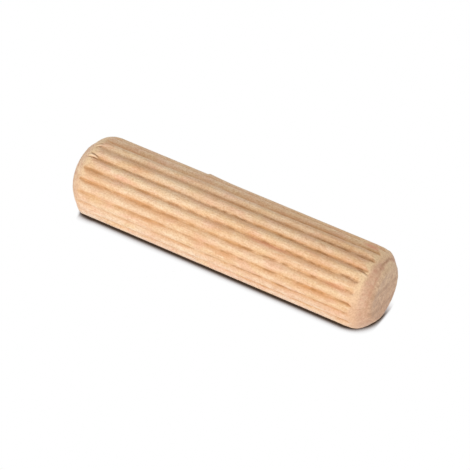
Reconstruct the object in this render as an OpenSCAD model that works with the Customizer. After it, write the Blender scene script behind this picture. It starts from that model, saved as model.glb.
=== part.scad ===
// Fluted dowel pin: one turned length of hardwood that lies on two of its
// ridges, with its axis along X and the middle of its footprint at the origin.

/* [Pin] */
// Diameter over the ridges, the size of the hole that the pin is driven into
pin_d = 10; // [8:0.5:16]
// Length from one end face to the other
pin_l = 40; // [20:1:80]

/* [Flutes] */
// Number of flutes round the pin
flute_count = 20; // [16:1:24]
// Depth of a flute below the tops of the ridges
flute_depth = 0.32; // [0.2:0.02:0.5]
// Width of a flute's floor
flute_floor = 0.16; // [0.06:0.02:0.24]
// Width of the land along the top of each ridge
ridge_land = 0.28; // [0.2:0.04:0.44]
// Radius to which the sides of a ridge bulge
ridge_side_r = 1.4; // [0.8:0.1:3]

/* [Ends] */
// Length of the taper at each end
taper_l = 1.55; // [1:0.05:2]
// Distance that the taper comes in from the tops of the ridges
taper_depth = 1.75; // [1:0.05:2]
// Radius that blends the ridges into the taper
shoulder_r = 2.5; // [0.5:0.1:2.8]
// Radius that blends the taper into the end face
nose_r = 0.8; // [0.2:0.1:1.2]

/* [Hidden] */
$fn = 96;
pale_beech = [0.87, 0.68, 0.5];
pin_r = pin_d / 2;
floor_r = pin_r - flute_depth;
flute_pitch = 360 / flute_count;

// Half the land, as an angle about the axis, and where its edge lies on a ridge that points along X
land_turn = asin(ridge_land / 2 / pin_r);
land_edge = pin_r * [cos(land_turn), sin(land_turn)];
// The edge of the flute's floor on the same side of that ridge
floor_turn = flute_pitch / 2 - asin(flute_floor / 2 / floor_r);
floor_edge = floor_r * [cos(floor_turn), sin(floor_turn)];
// Centre of the arc of radius ridge_side_r that joins the two edges and bulges outwards
side_run = floor_edge - land_edge;
side_normal = [side_run.y, -side_run.x] / norm(side_run);
side_offset = sqrt(ridge_side_r ^ 2 - (side_run * side_run) / 4);
side_centre = (land_edge + floor_edge) / 2 - side_normal * side_offset;

// The corners of the outline at one end, with X across the pin and Y along it, and the way down the taper
shoulder = [pin_r, pin_l / 2 - taper_l];
nose = [pin_r - taper_depth, pin_l / 2];
taper_slope = atan(taper_depth / taper_l);
down_taper = [-sin(taper_slope), cos(taper_slope)];
// How far each corner's rounding reaches along the sides that it joins
shoulder_reach = shoulder_r * tan(taper_slope / 2);
nose_reach = nose_r * tan(45 - taper_slope / 2);

// With a flute straight down, the two lowest ridges touch the bench at the edges of their lands
axis_height = pin_r * cos(flute_pitch / 2 - land_turn);

// One ridge, pointing along X, as a pointed arch that the pin's own round cuts to a land
module ridge() {
  intersection() {
    translate([side_centre.x, side_centre.y]) circle(r = ridge_side_r);
    translate([side_centre.x, -side_centre.y]) circle(r = ridge_side_r);
  }
}

// The fluted section, with a flute pointing along X
module fluted_section() {
  intersection() {
    circle(r = pin_r);
    union() {
      circle(r = floor_r);
      for (i = [0 : flute_count - 1]) rotate((i + 0.5) * flute_pitch) ridge();
    }
  }
}

// The sector that rounds a corner of the outline, from the start of its arc to the end
module rounding(arc_start, corner, arc_end, arc_centre, r) {
  intersection() {
    translate(arc_centre) circle(r = r);
    polygon([arc_centre, arc_start, corner, arc_end]);
  }
}

// Half of the pin's outline, from its middle to one end face
module end_outline() {
  shoulder_start = shoulder - [0, shoulder_reach];
  shoulder_end = shoulder + down_taper * shoulder_reach;
  nose_start = nose - down_taper * nose_reach;
  nose_end = nose - [nose_reach, 0];
  polygon([
    [0, 0],
    [pin_r, 0],
    shoulder_start,
    shoulder_end,
    nose_start,
    nose_end,
    [0, pin_l / 2],
  ]);
  rounding(shoulder_start, shoulder, shoulder_end, shoulder_start - [shoulder_r, 0], shoulder_r);
  rounding(nose_start, nose, nose_end, nose_end - [0, nose_r], nose_r);
}

// The turned form that the flutes run out into, standing on one end
module turned_form() {
  rotate_extrude() {
    end_outline();
    mirror([0, 1]) end_outline();
  }
}

module dowel_pin() {
  color(pale_beech)
    translate([0, 0, axis_height])
      rotate([0, 90, 0])
        intersection() {
          linear_extrude(height = pin_l, center = true) fluted_section();
          turned_form();
        }
}

dowel_pin();
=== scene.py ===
# %% [markdown]
# # A fluted dowel pin
#
# A dowel pin is a short length of hardwood, here beech, that joins two boards. A tool presses straight
# flutes into it, so that air and glue can leave the drilled hole, and both ends are tapered to find the
# hole. This lesson dresses the plain CAD model of one: the true form comes first, then what the tool and
# the fibres did to it, then the wood, and last the table that it lies on and the light.

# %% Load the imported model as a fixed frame
import math
import bmesh
import bpy
from mathutils import Matrix, Vector, noise


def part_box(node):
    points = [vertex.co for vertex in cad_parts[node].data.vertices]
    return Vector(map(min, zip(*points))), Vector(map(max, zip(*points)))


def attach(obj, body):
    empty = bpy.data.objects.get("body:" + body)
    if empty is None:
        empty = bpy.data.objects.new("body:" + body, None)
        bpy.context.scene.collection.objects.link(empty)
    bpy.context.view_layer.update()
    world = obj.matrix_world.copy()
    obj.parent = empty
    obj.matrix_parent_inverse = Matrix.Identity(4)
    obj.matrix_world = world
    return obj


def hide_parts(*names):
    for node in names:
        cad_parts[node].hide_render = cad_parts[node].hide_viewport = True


MM = 0.001  # one millimetre in scene units, which are metres
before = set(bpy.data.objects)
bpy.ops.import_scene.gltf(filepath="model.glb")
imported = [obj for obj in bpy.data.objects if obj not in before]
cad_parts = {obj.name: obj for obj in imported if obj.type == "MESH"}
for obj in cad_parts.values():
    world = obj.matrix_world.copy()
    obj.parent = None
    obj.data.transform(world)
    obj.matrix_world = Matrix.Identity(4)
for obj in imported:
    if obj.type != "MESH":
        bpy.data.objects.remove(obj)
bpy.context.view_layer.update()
low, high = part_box("dowel_pin")
print("the pin's box in mm:", [round(side / MM, 2) for side in high - low])

# %% [markdown]
# ## The camera
#
# The pin is small, and it is seen from a little above and to one side through a long lens, which keeps
# its edges nearly parallel. Two angles and a distance place such a camera. Its own Z axis points back
# from the pin, so `to_track_quat` turns it without any roll. The lens shift slides the picture a few
# pixels, so that the pin sits in the frame where it should and the angles stay as they are.

# %% Place the camera
view_turn = math.radians(30.34)  # from looking along +Y, round towards +X
view_height = math.radians(46)  # above the table
camera_distance = 390 * MM
picture_width = 36  # in mm, behind the lens
lens_length = 257.3  # in mm
picture_shift = (0.0041, -0.0084)  # sideways and up, as shares of the picture's width
axis_height = 4.958 * MM  # of the pin's axis, over the table that its two lowest ridges touch
pin_centre = Vector((0, 0, axis_height))
away = Vector((
    math.sin(view_turn) * math.cos(view_height),
    -math.cos(view_turn) * math.cos(view_height),
    math.sin(view_height),
))

camera_data = bpy.data.cameras.new("camera")
camera_data.sensor_width = picture_width
camera_data.lens = lens_length
camera_data.shift_x, camera_data.shift_y = picture_shift
camera = bpy.data.objects.new("camera", camera_data)
camera.location = pin_centre + away * camera_distance
camera.rotation_euler = away.to_track_quat("Z", "Y").to_euler()
bpy.context.scene.collection.objects.link(camera)
bpy.context.scene.camera = camera
print("the camera stands at, in mm:", [round(value / MM) for value in camera.location])

# %% [markdown]
# ## The sizes of the section
#
# The pin's section is a ring of equal ridges. Each has a narrow land on top, where the round blank is
# left as it was, two bulging sides, and half a flute's floor at either side of it. These are the CAD
# model's own sizes, and the turns that they take up round the pin follow from them.

# %% Write down the section's sizes
pin_radius = 5 * MM
pin_length = 40 * MM
flute_count = 20
flute_depth = 0.32 * MM
flute_floor = 0.16 * MM  # width of a flute's floor
ridge_land = 0.28 * MM  # width of the land along the top of a ridge
ridge_side_radius = 1.4 * MM

flute_pitch = 2 * math.pi / flute_count
floor_radius = pin_radius - flute_depth
land_turn = math.asin(ridge_land / 2 / pin_radius)
floor_turn = flute_pitch / 2 - math.asin(flute_floor / 2 / floor_radius)
print("each ridge takes up", round(math.degrees(flute_pitch), 1), "degrees")

# %% [markdown]
# ## One ridge
#
# Only half of one ridge is drawn. It could be typed in as a list of points, but each stretch of it is an
# arc, and spinning a single vertex draws an arc: the land on top turns about the pin's axis, the side
# bulges about a centre of its own, and the floor of the flute turns about the axis again.

# %% Draw half a ridge by spinning a vertex
ALONG = Vector((1, 0, 0))  # the pin's axis
land_steps = 2
side_steps = 8
floor_steps = 2


def spot(radius, turn, x=0.0):
    """The point at a radius from the pin's axis, turned from straight up towards the front."""
    return Vector((x, -radius * math.sin(turn), radius * math.cos(turn)))


def arc(mesh, start, centre, axis, angle, steps):
    """Spins a vertex into an arc and returns the arc's last vertex."""
    bmesh.ops.spin(mesh, geom=[start], cent=centre, axis=axis, angle=angle, steps=steps)
    mesh.verts.ensure_lookup_table()
    return mesh.verts[-1]


land_edge = spot(pin_radius, land_turn)
floor_edge = spot(floor_radius, floor_turn)
ridge_side = floor_edge - land_edge
inward = ALONG.cross(ridge_side).normalized()
to_centre = math.sqrt(ridge_side_radius**2 - ridge_side.length_squared / 4)
side_centre = (land_edge + floor_edge) / 2 + inward * to_centre
side_turn = 2 * math.asin(ridge_side.length / 2 / ridge_side_radius)

wood = bmesh.new()
vertex = wood.verts.new(spot(pin_radius, 0))
vertex = arc(wood, vertex, (0, 0, 0), ALONG, land_turn, land_steps)
vertex = arc(wood, vertex, side_centre, ALONG, side_turn, side_steps)
vertex = arc(wood, vertex, (0, 0, 0), ALONG, flute_pitch / 2 - floor_turn, floor_steps)
depth_reached = pin_radius - vertex.co.length
print("half a ridge has", len(wood.edges), "edges and ends at a depth in mm of", round(depth_reached / MM, 3))

# %% [markdown]
# ## The whole section
#
# Half a ridge mirrored is a ridge, and a ridge copied round the axis is the section. `spin` does the
# copying too, with `use_duplicate`. The copies only touch, so their doubled end points are welded into
# one closed ring. The ring is then turned by half a ridge, which puts a flute straight down: the pin
# lies on the two ridges beside it and doesn't roll.

# %% Mirror the ridge and copy it round the axis
WELD = 0.001 * MM
bmesh.ops.mirror(wood, geom=wood.verts[:] + wood.edges[:], axis="Y", merge_dist=WELD)
bmesh.ops.spin(
    wood,
    geom=wood.verts[:] + wood.edges[:],
    cent=(0, 0, 0),
    axis=ALONG,
    angle=flute_pitch * (flute_count - 1),
    steps=flute_count - 1,
    use_duplicate=True,
)
bmesh.ops.remove_doubles(wood, verts=wood.verts[:], dist=WELD)
half_ridge = Matrix.Rotation(flute_pitch / 2, 3, "X")
bmesh.ops.rotate(wood, verts=wood.verts[:], cent=(0, 0, 0), matrix=half_ridge)
print("the section is a ring of", len(wood.edges), "edges")

# %% [markdown]
# ## The outline of an end
#
# The tapered end is a turned form: a large radius leads from the ridges into the taper, and a small one
# from the taper into the end face. It is drawn the same way as the ridge, with spun vertices for the
# radii and a divided edge for the taper. Its points do two jobs below: they are the stops of the section
# on its way along the pin, and they say how large the pin may be at each of them.

# %% Draw the outline of one end
taper_length = 1.55 * MM
taper_depth = 1.75 * MM
shoulder_radius = 2.5 * MM
nose_radius = 0.8 * MM
shoulder_steps = 14
nose_steps = 6
taper_cuts = 7
ACROSS = Vector((0, 1, 0))

taper_slope = math.atan2(taper_depth, taper_length)
nose_slope = math.pi / 2 - taper_slope
shoulder_reach = shoulder_radius * math.tan(taper_slope / 2)
nose_reach = nose_radius * math.tan(nose_slope / 2)
down_taper = Vector((math.cos(taper_slope), 0, -math.sin(taper_slope)))
body_end = pin_length / 2 - taper_length - shoulder_reach
nose_start = Vector((pin_length / 2, 0, pin_radius - taper_depth)) - down_taper * nose_reach
shoulder_centre = Vector((body_end, 0, pin_radius - shoulder_radius))
nose_centre = Vector((pin_length / 2 - nose_radius, 0, pin_radius - taper_depth - nose_reach))

outline = bmesh.new()
vertex = outline.verts.new((body_end, 0, pin_radius))
vertex = arc(outline, vertex, shoulder_centre, ACROSS, taper_slope, shoulder_steps)
taper = bmesh.ops.extrude_vert_indiv(outline, verts=[vertex])
bmesh.ops.translate(outline, verts=taper["verts"], vec=nose_start - vertex.co)
arc(outline, taper["verts"][0], nose_centre, ACROSS, nose_slope, nose_steps)
bmesh.ops.subdivide_edges(outline, edges=taper["edges"], cuts=taper_cuts)
end_outline = sorted((v.co.x, v.co.z) for v in outline.verts)
outline.free()
face_radius = end_outline[-1][1]
print("the outline has", len(end_outline), "points; the face's radius in mm is", round(face_radius / MM, 3))

# %% [markdown]
# ## From end to end
#
# An edge loop that is extruded and moved leaves a strip of faces behind, so the ring is moved along the
# pin stop by stop, close together at the ends and further apart between them. One long extrusion would
# do for a plain bar, but the stops leave points all along the flutes, and those are what the tool marks
# are shaped with.

# %% Pull the section along the pin
body_steps = 108
body_stops = [body_end * (2 * step / body_steps - 1) for step in range(1, body_steps)]
end_stops = [x for x, radius in end_outline]
stops = [-x for x in reversed(end_stops)] + body_stops + end_stops

first_ring = ring = wood.edges[:]
bmesh.ops.translate(wood, verts=wood.verts[:], vec=ALONG * stops[0])
for x, next_x in zip(stops, stops[1:]):
    strip = bmesh.ops.extrude_edge_only(wood, edges=ring)["geom"]
    ring = [part for part in strip if isinstance(part, bmesh.types.BMEdge)]
    moved = [part for part in strip if isinstance(part, bmesh.types.BMVert)]
    bmesh.ops.translate(wood, verts=moved, vec=ALONG * (next_x - x))
last_ring = ring
print("the bar has", len(wood.faces), "faces between", len(stops), "stops")

# %% [markdown]
# ## Measuring a place on the wood
#
# All that follows moves the bar's points by what the tool, the cutter and the fibres did at each place.
# Three small helpers say where a point lies round the pin, give a soft step between two values, and read
# smooth noise at a place. The noise is read in the wood itself, stretched along the pin as the fibres
# are, so that neighbours move together and the surface stays closed. Its seed only shifts the place that
# it is read at, so the pin comes out the same each time.

# %% Helpers for shaping
def polar(point):
    """How far a point lies from the pin's axis, and its turn from straight up towards the front."""
    return math.hypot(point.y, point.z), math.atan2(-point.y, point.z)


def smooth_step(value, low, high):
    """0 below low and 1 above high, with a soft change between them."""
    share = min(max((value - low) / (high - low), 0), 1)
    return share * share * (3 - 2 * share)


def wavy(point, along, around, seed):
    """Smooth noise from -1 to 1, stretched by a length along the pin and one around it."""
    place = Vector((point.x / along, point.y / around, point.z / around))
    return noise.noise(place + Vector((seed, seed, seed)))


print("straight down is a turn of", round(math.degrees(polar(spot(1, math.pi))[1])), "degrees")

# %% [markdown]
# ## Where the flutes are shallower
#
# The fluting tool doesn't press evenly. At the ends the flutes run out early on one side, where it had
# less grip: on the front of the near end and on top of the far one. Low on the front they also grow
# shallower towards the far end. A product of two soft steps, one round the pin and one along it, gives
# each such region without a visible edge.

# %% Say how much of a flute's depth is left
near_run_out = (17.6 * MM, 18.6 * MM)  # where the near end's front flutes start to fade, and have faded
near_front = (math.radians(12), math.radians(42))  # the turns between which that front begins
far_run_out = (17.2 * MM, 18.5 * MM)  # the same for the far end's top flutes
far_top = (math.radians(20), math.radians(34))  # the turns between which that top ends
low_front = (math.radians(60), math.radians(95))
far_half = (-5 * MM, 15 * MM)
shallow_front = 0.2  # how much shallower the flutes are low on the front, at the far end


def depth_left(x, turn):
    """The share of a flute's full depth that is left at a place."""
    if x > 0:
        faded = smooth_step(turn, *near_front) * smooth_step(x, *near_run_out)
    else:
        faded = (1 - smooth_step(turn, *far_top)) * smooth_step(-x, *far_run_out)
    shallower = smooth_step(turn, *low_front) * smooth_step(-x, *far_half)
    return (1 - faded) * (1 - shallow_front * shallower)


print("on top, the flutes that are left at the far end:", round(depth_left(-18 * MM, 0), 2))

# %% [markdown]
# ## What the fluting tool left
#
# Wood is pressed aside, not cut, when the flutes are rolled in, and it gives way unevenly. Each flute
# wanders a little to the sides and runs deeper in soft stretches. A finer noise crumbles its edges, and
# another, stretched along the pin, lifts single bundles of fibres. On the front, where the tool's teeth
# are worn, the flutes come a degree late.
#
# How deep each point lies in its flute is kept in a layer, because the wood's colour will need it.

# %% Let the flutes wander and vary
uneven_pitch = math.radians(1.1)  # how late the flutes come in the middle of the front
worn_turn = math.radians(45)  # where that middle is
wander = math.radians(0.8)
depth_change = 0.22
crumble = 0.16
fibre_height = 0.006 * MM
# noises: a length along the pin, one around it, and a seed
soft_stretches = (7 * MM, 1.2 * MM, 3)
short_stretches = (1.6 * MM, 1.2 * MM, 5)
crumbs = (0.8 * MM, 0.35 * MM, 7)
slow_wander = (9 * MM, 1.4 * MM, 11)
quick_wander = (2.2 * MM, 1.4 * MM, 13)
fibre_bundles = (1.8 * MM, 0.16 * MM, 17)
short_share = 0.6  # of the short stretches, against the soft ones
quick_share = 0.3  # of the quick wander, against the slow one

flute_layer = wood.verts.layers.float.new("flute")
for vertex in wood.verts:
    place = vertex.co.copy()
    radius, turn = polar(place)
    drop = (pin_radius - radius) * depth_left(place.x, turn)
    vertex[flute_layer] = drop / flute_depth
    drop *= 1 + depth_change * (wavy(place, *soft_stretches) + short_share * wavy(place, *short_stretches))
    drop *= 1 + crumble * wavy(place, *crumbs)
    turn += uneven_pitch * max(math.cos(turn - worn_turn), 0)
    turn += wander * (wavy(place, *slow_wander) + quick_share * wavy(place, *quick_wander))
    lift = fibre_height * wavy(place, *fibre_bundles)
    vertex.co = spot(pin_radius - drop + lift, turn, place.x)
deepest = max(pin_radius - polar(vertex.co)[0] for vertex in wood.verts)
print("the deepest flute is now, in mm,", round(deepest / MM, 3))

# %% [markdown]
# ## How the cutter ran
#
# The cutter that turns an end isn't quite centred on the pin and chatters a little, so it leaves more
# wood in some places. The form that it leaves is the outline's radius at each distance from the middle,
# plus a wide hump where a place is fuller, plus a fine noise for the chatter.

# %% Say what the cutter leaves
fuller_places = [
    # which end, turn and half width in degrees, and how much more wood is left in mm
    (1, -62, 34, 0.15),
    (-1, 144, 36, 0.55),
]
end_unevenness = 0.05 * MM
chatter = (0.9 * MM, 0.9 * MM, 23)  # its lengths along and around the pin, and its seed


def outline_radius(x):
    """The radius of the turned form at a distance from the pin's middle."""
    for (x0, r0), (x1, r1) in zip(end_outline, end_outline[1:]):
        if x <= x1:
            return r0 + (r1 - r0) * (x - x0) / (x1 - x0)
    return face_radius


def left_over(end, turn):
    """How much more wood than the outline the cutter leaves on an end, at a turn."""
    height = 0
    for which, middle, half_width, extra in fuller_places:
        off = abs(math.degrees(turn) - middle) / half_width
        if which == end and off < 1:
            height += extra * MM * math.cos(off * math.pi / 2) ** 2
    return height


def cutter_radius(place, turn):
    """How far out the cutter leaves wood at a place, with its chatter."""
    past_body = smooth_step(abs(place.x), body_end, body_end + shoulder_reach)
    uneven = end_unevenness * wavy(spot(pin_radius, turn, place.x), *chatter)
    end = math.copysign(1, place.x)
    return outline_radius(abs(place.x)) + past_body * (left_over(end, turn) + uneven)


print("the outline's radius 19 mm from the middle, in mm:", round(outline_radius(19 * MM) / MM, 2))

# %% [markdown]
# ## Turning the ends
#
# The cutter takes whatever stands above its form, so each point beyond it comes down to it. The flutes
# run out by themselves where the form passes below their floors, and a rounded minimum in place of a
# sharp one leaves the soft edges that crushed fibres have. A second layer notes where the rolled surface
# has been cut away, again for the colour.

# %% Cut both ends
softness = 0.1 * MM
fade_of_cut = 0.12 * MM  # how deep a cut is when its place has fully lost the rolled surface
cut_layer = wood.verts.layers.float.new("cut")
for vertex in wood.verts:
    if abs(vertex.co.x) > body_end:
        radius, turn = polar(vertex.co)
        limit = cutter_radius(vertex.co, turn)
        closeness = max(softness - abs(radius - limit), 0) / softness
        cut_radius = min(radius, limit) - closeness * closeness * softness / 4
        vertex[cut_layer] = smooth_step(radius - cut_radius, 0, fade_of_cut)
        vertex.co = spot(cut_radius, turn, vertex.co.x)
print("points on the turned ends:", sum(vertex[cut_layer] > 0.5 for vertex in wood.verts))

# %% [markdown]
# ## The end faces
#
# Filling an end with one large polygon would leave nothing to shape. The last ring is extruded inwards
# instead, by shrinking it step by step, and the innermost ring is gathered into one point.

# %% Close both ends
face_steps = 14
for ring in (first_ring, last_ring):
    end_x = ring[0].verts[0].co.x
    centre = Vector((end_x, 0, 0))
    around_centre = Matrix.Translation(-centre)
    for step in range(1, face_steps + 1):
        strip = bmesh.ops.extrude_edge_only(wood, edges=ring)["geom"]
        ring = [part for part in strip if isinstance(part, bmesh.types.BMEdge)]
        moved = [part for part in strip if isinstance(part, bmesh.types.BMVert)]
        if step == face_steps:
            bmesh.ops.pointmerge(wood, verts=moved, merge_co=centre)
            continue
        shrink = (face_steps - step) / (face_steps + 1 - step)
        bmesh.ops.scale(wood, vec=(1, shrink, shrink), space=around_centre, verts=moved)
bmesh.ops.recalc_face_normals(wood, faces=wood.faces[:])
open_edges = sum(not edge.is_manifold for edge in wood.edges)
print("the pin has", len(wood.faces), "faces and", open_edges, "open edges")

# %% [markdown]
# ## The saw's marks
#
# The saw left each face slightly hollow and uneven, so its points move in and out along the pin by a
# slow noise and a fine one. The move fades out over the rounded nose, and the whole face counts as cut.

# %% Roughen the faces
face_unevenness = 0.05 * MM
hollow = 0.7  # how far the face lies inwards on the whole, as a share of that
slow_waves = (9 * MM, 1.5 * MM, 31)
saw_marks = (9 * MM, 0.35 * MM, 37)
mark_share = 0.35  # of the saw's marks, against the slow waves
for vertex in wood.verts:
    share = smooth_step(abs(vertex.co.x), nose_start.x, pin_length / 2)
    if share > 0:
        vertex[cut_layer] = 1
        dent = wavy(vertex.co, *slow_waves) + mark_share * wavy(vertex.co, *saw_marks) - hollow
        vertex.co.x += math.copysign(share * face_unevenness * dent, vertex.co.x)
print("its volume in cubic centimetres is", round(wood.calc_volume(signed=True) * 1e6, 3))

# %% [markdown]
# ## Marks along a line
#
# Where a flute runs out at a taper, the cutter catches the fibres. Some split off and leave a short,
# narrow groove, and some curl up beside it. Grooves could be cut with a boolean and curls added as
# pieces, but moving the points near a line in or out is simpler, keeps the pin one closed skin, and
# gives both soft edges. Each mark is a line on the pin's side between two places, given by how far along
# the pin they are and how far round it. It fades across the line as a bell curve does, and towards its
# two tips.

# %% A helper that marks a line
faintest = 0.02  # a mark weaker than this leaves a point alone
tip_strength = 0.2  # how strong a mark is at its tips
tip_rise = 4  # how fast it grows from there, along its length


def mark(line, kept_in, direction):
    """Moves the points near a line on the pin's side, inwards or outwards, and notes how strongly."""
    x0, x1, turn0, turn1, width, height, tone = line
    start = Vector((x0 * MM, math.radians(turn0) * pin_radius))
    run = Vector((x1 * MM, math.radians(turn1) * pin_radius)) - start
    for vertex in wood.verts:
        radius, turn = polar(vertex.co)
        way = Vector((vertex.co.x, turn * pin_radius)) - start
        share = min(max(way.dot(run) / run.length_squared, 0), 1)
        distance = (way - run * share).length
        strength = math.exp(-((distance / (width * MM / 2)) ** 2))
        if strength > faintest:
            strength *= min(1, tip_strength + tip_rise * share, tip_strength + tip_rise * (1 - share))
            vertex[kept_in] = max(vertex[kept_in], tone * strength)
            vertex.co = spot(radius + direction * height * MM * strength, turn, vertex.co.x)


print("a mark has grown to its full strength after", (1 - tip_strength) / tip_rise, "of its length")

# %% [markdown]
# ## Splits and torn fibres
#
# Most of the marks lie where flutes meet the shoulders. Three of the grooves are at the near end's nose
# instead, where the edge between the taper and the face has been crushed into a crease. Both kinds of
# mark are also kept in layers, because a split is dark and a torn fibre is pale.

# %% Press the splits in and lift the torn fibres
splits = [
    # start and end along the pin in mm, start and end round it in degrees, width and depth in mm, darkness
    (17.3, 18.75, 21.6, 23.4, 0.14, 0.10, 1.0),
    (16.6, 17.9, 36.4, 40.3, 0.15, 0.06, 0.6),
    (17.6, 18.25, 73.6, 74.1, 0.14, 0.07, 0.7),
    (-18.75, -17.4, 20.9, 19.8, 0.15, 0.12, 1.0),
    (-18.65, -17.2, 13.8, 17.0, 0.14, 0.12, 1.0),
    (-18.7, -17.9, -1.5, -6.2, 0.14, 0.10, 0.9),
    (-18.45, -17.8, 3.6, -1.2, 0.15, 0.12, 1.0),
    (19.1, 19.33, -38.0, -18.0, 0.2, 0.05, 0.6),
    (19.33, 19.2, -18.0, -2.0, 0.18, 0.04, 0.4),
    (17.7, 18.2, 38.4, 38.8, 0.22, 0.05, 0.6),
    (17.6, 18.15, 56.0, 56.5, 0.24, 0.05, 0.5),
    (18.1, 18.62, -2.8, -2.4, 0.15, 0.04, 0.6),
    (19.25, 19.33, -1.5, 0.5, 0.26, 0.03, 0.5),
]
torn_fibres = [
    # the same, with a height in place of the depth and paleness in place of the darkness
    (-18.55, -17.85, 1.0, -3.7, 0.17, 0.10, 1.0),
    (-18.65, -17.4, 17.4, 18.2, 0.19, 0.13, 1.2),
    (18.05, 18.75, 25.2, 26.4, 0.16, 0.05, 0.7),
]
split_layer = wood.verts.layers.float.new("split")
torn_layer = wood.verts.layers.float.new("torn")
for line in splits:
    mark(line, split_layer, -1)
for line in torn_fibres:
    mark(line, torn_layer, 1)
print("pressed", len(splits), "splits in and lifted", len(torn_fibres), "torn fibres")

# %% [markdown]
# ## Where the wood is redder
#
# The tool runs hot where the wood is hard, and a few stretches of the flutes have turned redder. They
# have no shape of their own, so they are only kept in a layer for the colour: soft ovals, each given by
# its middle and its half length and half width.

# %% Note the redder stretches
red_places = [
    # middle along the pin in mm and round it in degrees, half length in mm, half width in degrees, strength
    (17.4, -27, 2.0, 7, 1.2),
    (6.5, 39, 4.0, 4, 0.6),
    (15.5, 55, 2.0, 5, 0.4),
    (-13.0, 33, 2.5, 5, 0.5),
    (19.5, -14, 0.5, 9, 0.7),
]
red_core = 0.2  # how much of each oval is fully red
red_layer = wood.verts.layers.float.new("red")
for vertex in wood.verts:
    radius, turn = polar(vertex.co)
    for middle_x, middle_turn, half_length, half_width, strength in red_places:
        along = (vertex.co.x / MM - middle_x) / half_length
        around = (math.degrees(turn) - middle_turn) / half_width
        share = strength * (1 - smooth_step(math.hypot(along, around), red_core, 1))
        vertex[red_layer] = max(vertex[red_layer], share)
print("points in the redder stretches:", sum(vertex[red_layer] > 0.1 for vertex in wood.verts))

# %% [markdown]
# ## The raised sliver on the back
#
# On the back of the pin one bundle of fibres has come loose at one end. Its end stands up as a small
# step, and it sinks back into the ridge a few millimetres further on. Lifting the points within a narrow
# strip makes both: the lift starts at once and then dies away.

# %% Raise the sliver
sliver_start = -5.35 * MM
sliver_length = 4.2 * MM
sliver_turn = math.radians(-42)
sliver_half_width = math.radians(6)
sliver_height = 0.17 * MM
sliver_fall = 1.5  # above 1, it sinks fast at first and slowly towards its root
raised = 0
for vertex in wood.verts:
    share = (vertex.co.x - sliver_start) / sliver_length
    radius, turn = polar(vertex.co)
    off_middle = (turn - sliver_turn) / sliver_half_width
    if 0 <= share < 1 and abs(off_middle) < 1:
        lift = sliver_height * (1 - share) ** sliver_fall * (1 - off_middle**2)
        vertex.co = spot(radius + lift, turn, vertex.co.x)
        raised += 1
print("the sliver lifts", raised, "points")

# %% [markdown]
# ## Putting the pin on the table
#
# So far the pin's axis was the scene's own X axis, which keeps the sums short. Its points now go up to
# where the CAD model has them. The object itself stays at the origin, so that patterns in the wood and
# the exported mesh both keep their place. The mesh stands for the plain CAD pin, which is hidden.

# %% Make the pin's object
bmesh.ops.translate(wood, verts=wood.verts[:], vec=(0, 0, axis_height))
pin_mesh = bpy.data.meshes.new("dowel_pin_wood")
wood.to_mesh(pin_mesh)
wood.free()
pin_mesh.shade_smooth()
pin = bpy.data.objects.new("dowel_pin_wood", pin_mesh)
bpy.context.scene.collection.objects.link(pin)
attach(pin, "root")
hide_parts("dowel_pin")
layer_names = [layer.name for layer in pin_mesh.attributes if not layer.name.startswith(".")]
print("the pin's layers:", layer_names)

# %% [markdown]
# ## Tools for the beech
#
# Beech is a pale, warm wood with faint growth rings, short darker flecks and very fine pores. An image of
# wood would have to be wrapped round the pin and would show at the seam, so the beech is a set of noises
# read at each point's own place in the wood. A few short functions keep such a material readable: each
# adds one kind of node and returns its output.
#
# They build in whichever material the name `tree` stands for at the time. That is the beech's now, and
# the table's and the sky's later on.

# %% Start the material
beech = bpy.data.materials.new("beech")
beech.use_nodes = True
tree = beech.node_tree
shader = tree.nodes["Principled BSDF"]


def srgb(red, green, blue):
    """A colour as it is seen, from 0 to 255, made into the linear one that a shader takes."""
    shares = [value / 255 for value in (red, green, blue)]
    linear = [share / 12.92 if share <= 0.04045 else ((share + 0.055) / 1.055) ** 2.4 for share in shares]
    return (*linear, 1)


def feed(socket, value):
    """Links an output to an input, or sets the input to a value."""
    if isinstance(value, bpy.types.NodeSocket):
        tree.links.new(value, socket)
    else:
        socket.default_value = value


def add(kind, inputs=(), **settings):
    """Adds a node, sets its properties, and feeds its inputs by their names or numbers."""
    node = tree.nodes.new(kind)
    for name, value in settings.items():
        setattr(node, name, value)
    for name, value in dict(inputs).items():
        feed(node.inputs[name], value)
    return node


print("the material has", len(tree.nodes), "nodes before the wood is built")

# %% [markdown]
# ## Sums, limits and mixes
#
# Most of the material is arithmetic: a noise is stretched until it says how much of a colour to mix in,
# and that share is weakened where the colour doesn't belong. `remap` does the stretching. What lies
# below its range gets the first result and what lies above it the last, so every share stays within the
# limits that it is given. `layer` reads what was noted in the mesh while it was shaped.
#
# The same two steps come again and again: stretch a pattern, then mix in a colour by it. `stained` does
# both for a whole list, so that a finish can be written down as a table of stains, the lowest first.
# Each row of such a table has a pattern, where it starts and where it is full, a strength and a colour.

# %% Helpers for sums and colours
def calculate(operation, a, b=0.0):
    """The result of a sum on two values or outputs."""
    return add("ShaderNodeMath", enumerate((a, b)), operation=operation).outputs[0]


def remap(value, low, high, to_low=0.0, to_high=1.0):
    """Stretches low..high to to_low..to_high, and holds it there."""
    return add("ShaderNodeMapRange", enumerate((value, low, high, to_low, to_high))).outputs["Result"]


def blend(share, first, second):
    """Mixes two colours by a share of the second."""
    node = add("ShaderNodeMix", data_type="RGBA")
    for name, value in (("Factor", share), ("A", first), ("B", second)):
        socket = next(socket for socket in node.inputs if socket.name == name and socket.enabled)
        feed(socket, value)
    return next(socket for socket in node.outputs if socket.enabled)


def stained(colour, stains):
    """Lays the stains of a table on a colour, in their order."""
    for pattern, start, full, strength, stain in stains:
        colour = blend(remap(pattern, start, full, 0, strength), colour, stain)
    return colour


def layer(name):
    """The value that the mesh keeps in a layer."""
    return add("ShaderNodeAttribute", attribute_name=name).outputs["Fac"]


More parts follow.
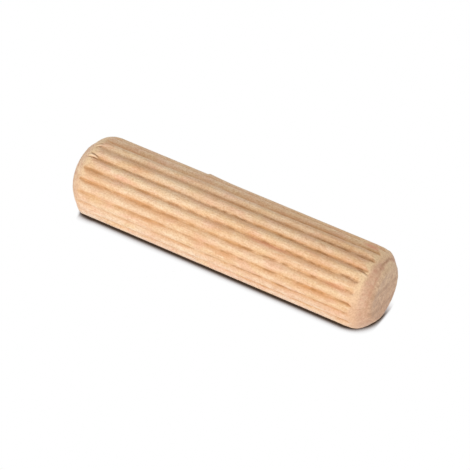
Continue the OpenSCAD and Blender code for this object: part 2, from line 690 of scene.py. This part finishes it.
helpers = (calculate, remap, blend, stained, layer)
print("helpers for sums and colours:", [helper.__name__ for helper in helpers])

# %% [markdown]
# ## Where a pattern is read
#
# Every pattern needs a place to be read at. Object coordinates are the real place in the wood in metres,
# whatever the surface does, and a Mapping node of the Texture kind divides them by the size of the
# pattern's features: one size along the pin, where fibres run, and one or two across it. Two patterns of
# one size would match point by point, so each but the first is shifted along the pin to wood of its own.

# %% Helpers for noises
in_wood = add("ShaderNodeTexCoord").outputs["Object"]
x_place, y_place, z_place = add("ShaderNodeSeparateXYZ", {"Vector": in_wood}).outputs[:3]


def noise_in_wood(along, across, shift=0.0, turn=0.0, detail=2.0, flat=None):
    """Noise of about a half, with features of a size along and across the pin."""
    place = add(
        "ShaderNodeMapping",
        {
            "Vector": in_wood,
            "Location": (shift, 0, 0),
            "Rotation": (turn, 0, 0),
            "Scale": (along, across, flat or across),
        },
        vector_type="TEXTURE",
    )
    noise_inputs = {"Vector": place.outputs["Vector"], "Scale": 1.0, "Detail": detail}
    return add("ShaderNodeTexNoise", noise_inputs).outputs["Fac"]


print("patterns are read at the", in_wood.name, "coordinates, in metres")

# %% [markdown]
# ## The wood's colour, its slow changes and painted light
#
# Freshly machined beech isn't one colour. Long streaks are paler or tanner, and that is the ground for
# all the rest. Over it, the colour changes slowly along the pin, warmer towards the near end. Two more
# changes are painted light. The back is painted creamier, as painted sheen and light from above. The
# wood low down is painted paler and greyer, as a painted reflection of the white table under it.

# %% Lay the ground colour
cream = srgb(255, 228, 194)
pale = srgb(255, 226, 188)
tan = srgb(238, 188, 142)
warm = srgb(226, 168, 120)
warmest = srgb(216, 158, 112)
yellow_cream = srgb(255, 220, 170)
# the colour of the painted reflection of the white table
painted_table_reflection = srgb(240, 216, 194)

streaks = noise_in_wood(6 * MM, 2.0 * MM)
# painted sheen and light on the back, yellower towards the near end
painted_back_light = blend(remap(x_place, 0, 11 * MM), cream, yellow_cream)
side = stained(pale, [
    # the pattern, where it starts and where it is full, its strength and its colour
    (streaks, 0.36, 0.64, 1.0, tan),
    (x_place, -18 * MM, 18 * MM, 0.3, warm),
    (x_place, 10 * MM, 17 * MM, 0.14, warmest),
    # painted sheen and light: the back and top are painted creamier
    (y_place, 0.6 * MM, 2.6 * MM, 0.6, painted_back_light),
    # painted reflection: the wood low down is painted paler and greyer, as the white table lights it
    (z_place, axis_height + 1 * MM, axis_height - 2 * MM, 0.85, painted_table_reflection),
])
print("the ground colour takes", len(tree.nodes), "nodes")

# %% [markdown]
# ## Single pale streaks
#
# On a few ridges a streak of paler wood runs for several millimetres. The long one in the middle, at a
# turn of 15 degrees, is painted light: it lifts a ridge near the top that the low softbox lights too
# little. Each is given by its turn round the pin and its middle along it. The turn comes from the two
# coordinates across the pin, by the same arc tangent as in `polar`, and the streak fades out from its
# middle both ways.

# %% Add the pale streaks
pale_streaks_and_painted_light = [
    # turn in degrees, middle and half length along the pin in mm, and strength
    # painted light on the ridge near the top; the rows below are paler wood
    (15, 0, 11, 0.45),
    (66, -13, 7, 0.5),
    (32, -18, 4.5, 0.45),
    (84, -16, 7, 0.4),
    (-4, -3, 6, 0.4),
]
streak_fade = 3  # in mm, at each end of a streak
streak_core, streak_edge = math.radians(3), math.radians(10)  # half widths
to_front = calculate("MULTIPLY", y_place, -1.0)
turn_place = calculate("ARCTAN2", to_front, calculate("SUBTRACT", z_place, axis_height))
for turn, middle, half_length, strength in pale_streaks_and_painted_light:
    off_turn = calculate("ABSOLUTE", calculate("SUBTRACT", turn_place, math.radians(turn)))
    off_middle = calculate("ABSOLUTE", calculate("SUBTRACT", x_place, middle * MM))
    streak = remap(off_middle, half_length * MM, (half_length - streak_fade) * MM, 0, strength)
    streak = calculate("MULTIPLY", streak, remap(off_turn, streak_edge, streak_core))
    side = blend(streak, side, cream)
print("added", len(pale_streaks_and_painted_light), "pale streaks")

# %% [markdown]
# ## Patches, speckle and flecks
#
# Shorter patches turn rosy or straw-coloured, and over all of it lies a fine speckle of pores and broken
# fibres, with a few longer flecks that are darker or lighter than the wood. Each is one noise that mixes
# in one colour, from the largest to the smallest, which makes every step easy to judge by itself.

# %% Mix in the patches, the speckle and the flecks
rosy = srgb(247, 198, 168)
straw = srgb(245, 209, 160)
dark = srgb(200, 146, 98)
light_fleck = srgb(255, 232, 200)

patches = noise_in_wood(3.0 * MM, 1.2 * MM, shift=30 * MM)
straw_patches = noise_in_wood(2.2 * MM, 1.0 * MM, shift=60 * MM)
speckle = noise_in_wood(0.2 * MM, 0.2 * MM, detail=1.5)
flecks = noise_in_wood(0.9 * MM, 0.10 * MM, turn=math.radians(20), flat=1.6 * MM, detail=1.0)
side = stained(side, [
    (patches, 0.48, 0.66, 0.6, rosy),
    (straw_patches, 0.48, 0.66, 0.6, straw),
    (speckle, 0.36, 0.72, 0.45, dark),
    (flecks, 0.56, 0.74, 0.3, dark),
    (flecks, 0.44, 0.28, 0.4, light_fleck),
])
print("the side's colour takes", len(tree.nodes), "nodes so far")

# %% [markdown]
# ## The flutes' colour and painted shade
#
# The flutes are darker and browner. Part of this is the burnish that the fluting tool rubs into them as
# it presses the wood in, and part is painted shade in the hollow. The `flute` layer says how deep each
# point lies, and a power of it keeps the colour to the floor. Where the cutter took the surface away, the
# darkening is gone too. It is stronger towards the near end, and weakest on top and on the back of the
# far half.
#
# The very bottom of a flute is darker still, partly from fine cracks and partly as painted shade: a
# higher power keeps it there, and a noise breaks it up.

# %% Burnish the flutes and paint their shade
burnish_and_shade = srgb(206, 147, 86)
crack_and_shade_colour = srgb(162, 105, 48)
reddened = srgb(230, 142, 112)

floor_power = 1.6  # keeps the burnish and the painted shade to a flute's floor
crack_and_shade_power = 4.0  # keeps the cracks and the darker painted shade to its very bottom
red_strength = 0.6

uncut = calculate("SUBTRACT", 1.0, layer("cut"))
near_end_stronger = remap(x_place, -18.5 * MM, 12 * MM, 0.9, 1.05)
top_and_back = remap(x_place, -10 * MM, 12 * MM, 0.6, 0.92)
front_stronger = remap(y_place, -1.5 * MM, 0.5 * MM, 1.0, top_and_back)
depth = calculate("POWER", calculate("MAXIMUM", layer("flute")), floor_power)
for share in (uncut, near_end_stronger, front_stronger):
    depth = calculate("MULTIPLY", depth, share)
burnish_and_shade_share = remap(noise_in_wood(3.5 * MM, 1.0 * MM, shift=10 * MM), 0.35, 0.65, 0.3, 0.8)
# partly burnish, partly painted shade in the flute
side = blend(calculate("MULTIPLY", burnish_and_shade_share, depth), side, burnish_and_shade)
cracks_and_shade = remap(noise_in_wood(1.2 * MM, 0.5 * MM, shift=20 * MM, detail=3.0), 0.42, 0.62, 0, 0.6)
# fine cracks and painted shade at the flute's very bottom
side = blend(calculate("MULTIPLY", calculate("POWER", depth, crack_and_shade_power), cracks_and_shade), side, crack_and_shade_colour)
side = blend(calculate("MULTIPLY", layer("red"), red_strength), side, reddened)
print("the flutes bring the material to", len(tree.nodes), "nodes")

# %% [markdown]
# ## Where the taper ends and the face begins
#
# The tapers cut across the fibres at a slant and the end faces cut straight across, so the two differ in
# colour. The line between them isn't sharp: a noise makes it ragged, and high on the near end it lies a
# little further in, because that edge is crushed. `high_and_back` says how far up a place is, leaning
# towards the back, and several of the colours below depend on it.

# %% Find the face and its edge
face_start, face_full = 19.8 * MM, 19.92 * MM  # from the pin's middle
crushed_back = 0.3 * MM  # how much further in the edge lies where it is crushed
raggedness = 0.3 * MM
lean = 0.5  # how much of the way back counts as height

at_far_end = calculate("LESS_THAN", x_place, 0.0)
at_near_end = calculate("SUBTRACT", 1.0, at_far_end)
high_and_back = calculate("ADD", z_place, calculate("MULTIPLY", y_place, lean))
near_top = remap(high_and_back, axis_height + 3.4 * MM, axis_height + 4.4 * MM)
near_top = calculate("MULTIPLY", near_top, at_near_end)
ragged = noise_in_wood(1.2 * MM, 0.5 * MM, shift=70 * MM, detail=3.0)
off_centre = calculate("ABSOLUTE", x_place)
face_place = calculate("ADD", off_centre, calculate("MULTIPLY", near_top, crushed_back))
face_place = calculate("ADD", face_place, calculate("MULTIPLY", ragged, raggedness))
on_face = remap(face_place, face_start, face_full)
past_shoulder = remap(off_centre, 18.5 * MM, 19.0 * MM)
print("the face takes over within", round((face_full - face_start) / MM, 2), "mm along the pin")

# %% [markdown]
# ## The tapers
#
# Cut at a slant, the fibres look duller than on the side, and cloudy, with a few blotches where a bundle
# has torn. The far end was cut cleaner and stays paler. The first half millimetre past the ridges is
# only just touched by the cutter and keeps nearly the side's colour, painted paler towards the top as
# painted light. The highest part of the taper is painted pale too, as painted light on its top edge.

# %% Colour the tapers
near_dull = srgb(240, 199, 165)
near_cloud = srgb(226, 181, 146)
far_dull = srgb(252, 217, 177)
far_cloud = srgb(240, 197, 152)
taper_blotch = srgb(218, 158, 130)
painted_top_light = srgb(255, 218, 172)
low_shoulder = srgb(236, 192, 154)
high_shoulder = srgb(255, 220, 174)

cloudy = noise_in_wood(2.0 * MM, 0.9 * MM, shift=50 * MM, detail=4.0)
blotches = noise_in_wood(1.0 * MM, 0.45 * MM, shift=90 * MM, detail=3.0)
near_taper = stained(near_dull, [(cloudy, 0.38, 0.62, 1.0, near_cloud)])
far_taper = stained(far_dull, [(cloudy, 0.38, 0.62, 1.0, far_cloud)])
taper_colour = stained(blend(at_far_end, near_taper, far_taper), [
    (blotches, 0.48, 0.62, 0.45, taper_blotch),
    # painted light: the taper's top edge is painted pale
    (high_and_back, axis_height + 4.4 * MM, axis_height + 4.8 * MM, 0.75, painted_top_light),
])
# painted light: the shoulder is painted paler towards the top
painted_light_by_height = (z_place, axis_height + 1 * MM, axis_height + 4.5 * MM, 1.0, high_shoulder)
taper_colour = blend(past_shoulder, stained(low_shoulder, [painted_light_by_height]), taper_colour)
print("the tapers bring the material to", len(tree.nodes), "nodes")

# %% [markdown]
# ## The faces
#
# A face shows the pores' open ends, so it is darker and greyer than the side, cloudy like the tapers,
# and has darker blotches. It is lightest towards the top, where the light wood of the outer rings lies.

# %% Colour the faces
low_face = srgb(238, 193, 156)
high_face = srgb(246, 212, 174)
face_cloud = srgb(206, 162, 130)
face_blotch = srgb(176, 126, 100)

face_colour = stained(low_face, [
    (high_and_back, axis_height - 3 * MM, axis_height + 3 * MM, 1.0, high_face),
    (cloudy, 0.42, 0.58, 0.5, face_cloud),
    (blotches, 0.5, 0.62, 0.4, face_blotch),
])
print("the faces bring the material to", len(tree.nodes), "nodes")

# %% [markdown]
# ## The growth rings
#
# Growth rings cross the face as broad, faint lines. They are nearly flat layers in so small a piece, so a
# Wave texture, which is a row of bands, stands for them once it is turned to their slope and bent a
# little. Above them, the rim of the face is painted paler, as painted light on its top edge.

# %% Draw the rings and the painted light on the rim
ring_spacing = 2.6 * MM
ring_slope = math.radians(20)
ring_shift = 0.52 * MM  # up from the axis
one_band = 2 * math.pi / 20  # the scale at which a Wave texture makes one band in each unit of length
ring_colour = srgb(188, 142, 106)
painted_rim_light = srgb(255, 222, 180)

ring_place = add(
    "ShaderNodeMapping",
    {
        "Vector": in_wood,
        "Location": (0, 0, axis_height + ring_shift),
        "Rotation": (-ring_slope, 0, 0),
        "Scale": (ring_spacing, ring_spacing, ring_spacing),
    },
    vector_type="TEXTURE",
)
rings = add(
    "ShaderNodeTexWave",
    {
        "Vector": ring_place.outputs["Vector"],
        "Scale": one_band,
        "Phase Offset": math.pi / 2,
        "Distortion": 1.6,
        "Detail": 2.0,
        "Detail Scale": 1.2,
    },
    bands_direction="Z",
)
face_colour = stained(face_colour, [
    (rings.outputs["Fac"], 0.7, 1.0, 0.4, ring_colour),
    # painted light on the top rim of the face
    (high_and_back, axis_height + 3.0 * MM, axis_height + 4.2 * MM, 0.8, painted_rim_light),
])
print("growth rings are", ring_spacing / MM, "mm apart")

# %% [markdown]
# ## Putting the colours together
#
# The layers decide what shows where: the side where the surface is as rolled, the taper's colour where
# it was cut, and the face's beyond the nose. The edge between taper and face is painted darker, as
# painted shade in its crease, most of all high on the near end. Speckle goes over the cut wood as well,
# since the pores are everywhere. Torn fibres are clean and pale, and splits are dark, because they are
# open wood in their own shade.

# %% Join side, taper and face
crease_shade_colour = srgb(176, 122, 80)
pore = srgb(186, 138, 104)
clean_wood = srgb(255, 224, 190)
shaded_wood = srgb(150, 94, 54)
edge_place = 19.74 * MM  # from the pin's middle
torn_strength, split_strength = 0.75, 0.7

off_edge = calculate("ABSOLUTE", calculate("SUBTRACT", face_place, edge_place))
# painted shade along the crease between taper and face
crease_shade_share = calculate("MULTIPLY", remap(off_edge, 0.14 * MM, 0.03 * MM), remap(near_top, 0, 1, 0.2, 0.35))
cut_wood = blend(on_face, taper_colour, face_colour)
cut_wood = blend(crease_shade_share, cut_wood, crease_shade_colour)
cut_wood = stained(cut_wood, [(speckle, 0.38, 0.72, 0.4, pore)])
wood_colour = blend(layer("cut"), side, cut_wood)
wood_colour = blend(calculate("MULTIPLY", layer("torn"), torn_strength), wood_colour, clean_wood)
wood_colour = blend(calculate("MULTIPLY", layer("split"), split_strength), wood_colour, shaded_wood)
feed(shader.inputs["Base Color"], wood_colour)
print("the whole colour takes", len(tree.nodes), "nodes")

# %% [markdown]
# ## Sheen, roughness and relief
#
# Machined beech is matt, and the speckle's pores are a little rougher than the wood between them. Its
# surface is covered with a fuzz of fibre ends too short to model. Seen at a flat angle that fuzz catches
# the light, which is what the shader's sheen is for. It is faint and the same all over, so it is set on
# the shader itself. A shallow bump of stretched noise gives the fibres that are too fine for the mesh.

# %% Finish the surface
shader.inputs["Sheen Weight"].default_value = 0.15
shader.inputs["Sheen Roughness"].default_value = 0.45
feed(shader.inputs["Roughness"], remap(speckle, 0.3, 0.7, 0.55, 0.75))
fibres = noise_in_wood(0.25 * MM, 0.12 * MM, detail=3.0)
bump = add("ShaderNodeBump", {"Strength": 0.6, "Distance": 0.02 * MM, "Height": fibres})
feed(shader.inputs["Normal"], bump.outputs["Normal"])
pin_mesh.materials.append(beech)
print("the beech has", len(tree.nodes), "nodes")

# %% [markdown]
# ## What the camera sees of the white surroundings
#
# The pin lies on a white table against white. If light alone had to make them white, it would bleach
# the pin. A Light Path node tells the rays apart instead: those from the camera, and those that a gloss
# reflects, see plain white, and all others see ordinary paper or a soft sky. Table and sky share this
# switch.

# %% A switch between what is seen and what gives light
def seen_or_lit(lit, seen):
    """A shader that camera and glossy rays see one way and all other rays another."""
    path = add("ShaderNodeLightPath").outputs
    either = calculate("MAXIMUM", path["Is Camera Ray"], path["Is Glossy Ray"])
    return add("ShaderNodeMixShader", enumerate((either, lit, seen))).outputs[0]


print("made the helper:", seen_or_lit.__name__)

# %% [markdown]
# ## The table
#
# The table only has to be there and to be far larger than the pin, so one flat square grid does. Its top
# is the height that the pin rests on.

# %% Make the table
table_half_width = 1.0  # in metres
table_mesh = bpy.data.meshes.new("table")
top = bmesh.new()
bmesh.ops.create_grid(top, x_segments=1, y_segments=1, size=table_half_width)
top.to_mesh(table_mesh)
top.free()
table = bpy.data.objects.new("table", table_mesh)
bpy.context.scene.collection.objects.link(table)
print("the table is", 2 * table_half_width, "metres wide")

# %% [markdown]
# ## How much light is left beside the pin
#
# A plain white surface would lose the pin's shadow, which is what makes it lie on the table. The shadow
# comes back through Ambient Occlusion, which measures how much of the light round a point is hidden by
# things within a short reach. Its normal leans towards the front, because most of the light comes from
# there, so the shadow falls behind the pin more than in front of it.

# %% Measure the light that is left
shadow_reach = 2.4 * MM
light_lean = math.radians(55)  # from straight up
light_turn = math.radians(300)  # round the upright, from the near end
towards_light = (
    math.sin(light_lean) * math.cos(light_turn),
    math.sin(light_lean) * math.sin(light_turn),
    math.cos(light_lean),
)
paper = bpy.data.materials.new("white_table")
paper.use_nodes = True
tree = paper.node_tree
tree.nodes.clear()
on_table = add("ShaderNodeTexCoord").outputs["Object"]
x_table, y_table = add("ShaderNodeSeparateXYZ", {"Vector": on_table}).outputs[:2]

leaning = add("ShaderNodeCombineXYZ", enumerate(towards_light)).outputs["Vector"]
reach = {"Distance": shadow_reach, "Normal": leaning}
light_left = add("ShaderNodeAmbientOcclusion", reach, samples=200).outputs["AO"]
print("the shadow reaches", round(shadow_reach / MM, 1), "mm")

# %% [markdown]
# ## The shadow's tones
#
# A colour ramp turns what is left of the light into a tone: a warm near-black where the wood almost
# touches the table, and white a fraction of a millimetre further out. The tones lie close together,
# which keeps the shadow thin.
#
# Behind the pin, and past its far end, so steep a ramp would end the shadow in a hard step. There the
# light is held at or above a softer value, which spreads the same tones over more of the range. Under
# the far taper the shadow is pushed a little darker, and past both ends it fades out.

# %% Set the tones and where they are softer
shadow_tones = [
    # how much of the light is left, and the tone it becomes
    (0.69, (0.05, 0.03, 0.018, 1)),
    (0.71, (0.17, 0.13, 0.11, 1)),
    (0.738, (0.37, 0.335, 0.32, 1)),
    (0.765, (0.61, 0.575, 0.57, 1)),
    (0.80, (0.85, 0.84, 0.84, 1)),
    (0.85, (1, 1, 1, 1)),
]
darkest, lightest = shadow_tones[0][0], shadow_tones[-1][0]
softest_light = 0.1  # with no more light than this, the softer value gives the darkest tone
far_push = -0.05  # added to the light under the far taper
end_fade = 0.25  # added to it past both ends

softer = remap(light_left, softest_light, lightest, 0, lightest - darkest)
behind = remap(y_table, 1 * MM, 3.5 * MM)
beside_far_end = remap(y_table, -2.5 * MM, 1 * MM)
past_far_end = calculate("MULTIPLY", remap(x_table, -17 * MM, -19 * MM), beside_far_end)
softer = calculate("MULTIPLY", softer, calculate("MAXIMUM", behind, past_far_end))
light_left = calculate("ADD", light_left, remap(x_table, -17.3 * MM, -19.1 * MM, 0, far_push))
from_middle = calculate("ABSOLUTE", x_table)
light_left = calculate("ADD", light_left, remap(from_middle, 19.5 * MM, 20.5 * MM, 0, end_fade))
tones = add("ShaderNodeValToRGB")
while len(tones.color_ramp.elements) < len(shadow_tones):
    tones.color_ramp.elements.new(0.5)
for element, (place, tone) in zip(tones.color_ramp.elements, shadow_tones):
    element.position = place
    element.color = tone
feed(tones.inputs["Fac"], calculate("MAXIMUM", light_left, calculate("ADD", softer, darkest)))
print("the tones run from", darkest, "to", lightest, "of the light")

# %% [markdown]
# ## The table's material
#
# The camera sees the shadow's tones close to the pin and plain white beyond an oval round it, because
# asking for occlusion takes time and only matters there. Both are emission, so no lamp changes them. For
# the light that falls on the wood from below, the table is a sheet of matt pale paper.

# %% Give the table its white and its shadow
shadow_oval = (26 * MM, 11 * MM)  # half its length and half its width
paper_tone = 0.85
oval = add("ShaderNodeMapping", {"Vector": on_table, "Scale": (*shadow_oval, 1)}, vector_type="TEXTURE")
from_pin = add("ShaderNodeVectorMath", {0: oval.outputs["Vector"]}, operation="LENGTH").outputs["Value"]
outside_oval = calculate("GREATER_THAN", from_pin, 1.0)
shadow = add("ShaderNodeEmission", {"Color": tones.outputs["Color"]}).outputs[0]
plain = add("ShaderNodeEmission", {"Color": (1, 1, 1, 1)}).outputs[0]
seen_table = add("ShaderNodeMixShader", enumerate((outside_oval, shadow, plain))).outputs[0]
sheet = add("ShaderNodeBsdfDiffuse", {"Color": (paper_tone, paper_tone, paper_tone, 1)}).outputs[0]
add("ShaderNodeOutputMaterial", {"Surface": seen_or_lit(sheet, seen_table)})
table_mesh.materials.append(paper)
print("the table's material has", len(tree.nodes), "nodes")

# %% [markdown]
# ## The sky
#
# A studio is mostly soft light from all round, which here is the world's own background. It gives light
# at a plain level, so that the wood renders about as its colours are written.

# %% Light it softly from all round
sky_strength = 0.63
world = bpy.data.worlds.new("studio")
bpy.context.scene.world = world
world.use_nodes = True
tree = world.node_tree
tree.nodes.clear()
soft_light = add("ShaderNodeBackground", {"Color": (1, 1, 1, 1), "Strength": sky_strength}).outputs[0]
seen_sky = add("ShaderNodeBackground", {"Color": (1, 1, 1, 1)}).outputs[0]
add("ShaderNodeOutputWorld", {"Surface": seen_or_lit(soft_light, seen_sky)})
print("the sky's strength is", sky_strength)

# %% [markdown]
# ## The softbox
#
# One large, low lamp in front of the pin gives the ridges their shape: it lights the side of each ridge
# that faces it and leaves the other in the sky's light. An area lamp keeps the edges of that shading
# soft. It shines along its own -Z axis, so its Z axis points away from the pin, as the camera's does.

# %% Hang the softbox
lamp_distance = 300 * MM
lamp_height = math.radians(10)
lamp_data = bpy.data.lights.new("softbox", "AREA")
lamp_data.shape = "RECTANGLE"
lamp_data.size = 300 * MM
lamp_data.size_y = 120 * MM
lamp_data.energy = 0.50  # in watts, because the lamp is so near
lamp = bpy.data.objects.new("softbox", lamp_data)
towards_lamp = Vector((0, -math.cos(lamp_height), math.sin(lamp_height)))
lamp.location = pin_centre + towards_lamp * lamp_distance
lamp.rotation_euler = towards_lamp.to_track_quat("Z", "Y").to_euler()
bpy.context.scene.collection.objects.link(lamp)
bpy.context.scene.view_settings.view_transform = "Standard"
print("the softbox hangs at, in mm:", [round(value / MM) for value in lamp.location])
